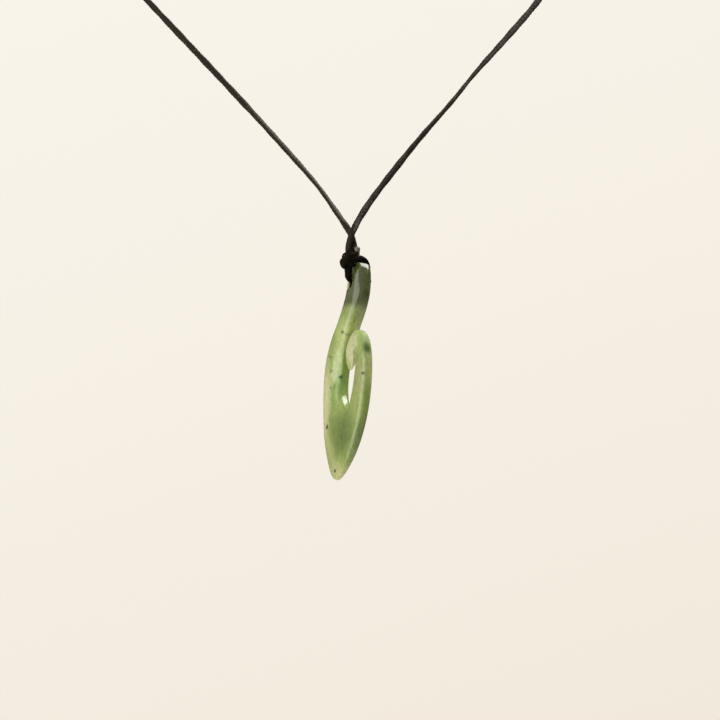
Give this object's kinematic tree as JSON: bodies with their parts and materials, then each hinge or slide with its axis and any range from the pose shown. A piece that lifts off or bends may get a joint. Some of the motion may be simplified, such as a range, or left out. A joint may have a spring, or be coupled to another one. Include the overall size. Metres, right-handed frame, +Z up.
{
  "type": "hook pendant necklace",
  "caption": "Fish hook pendant of mottled green stone on a thin black cord, knotted above its shank and joined at the nape.",
  "frame": {"origin": "where the cord rests on the nape of the neck, on the front of the knot that joins its halves", "axes": "+Z up, +X across the shoulders to the picture's right, -Y out of the chest towards the viewer; the hook hangs down in front"},
  "size_m": [0.1364, 0.1146, 0.2035],
  "materials": {
    "jade": "polished, slightly translucent, mottled from dark olive to pale yellow green",
    "cord": "waxed twisted cord, near black, with a fine soft sheen",
    "melted_cord": "the cord's cut end, melted to a smooth grey brown tip"
  },
  "bodies": {
    "neck_loop": {"neck_cord_left": "cord", "neck_cord_right": "cord", "nape_knot": "cord", "cord_knot": "cord", "cord_end": "melted_cord", "hanging_loop": "cord"},
    "pendant": {"hook": "jade"}
  },
  "joints": [
    {"name": "pendant_swing", "type": "hinge", "parent": "neck_loop", "child": "pendant", "pos_m": [0.00442, -0.0948, -0.14517], "axis": [0.8975, 0.4185, -0.1392], "range_deg": [-30, 30]}
  ]
}
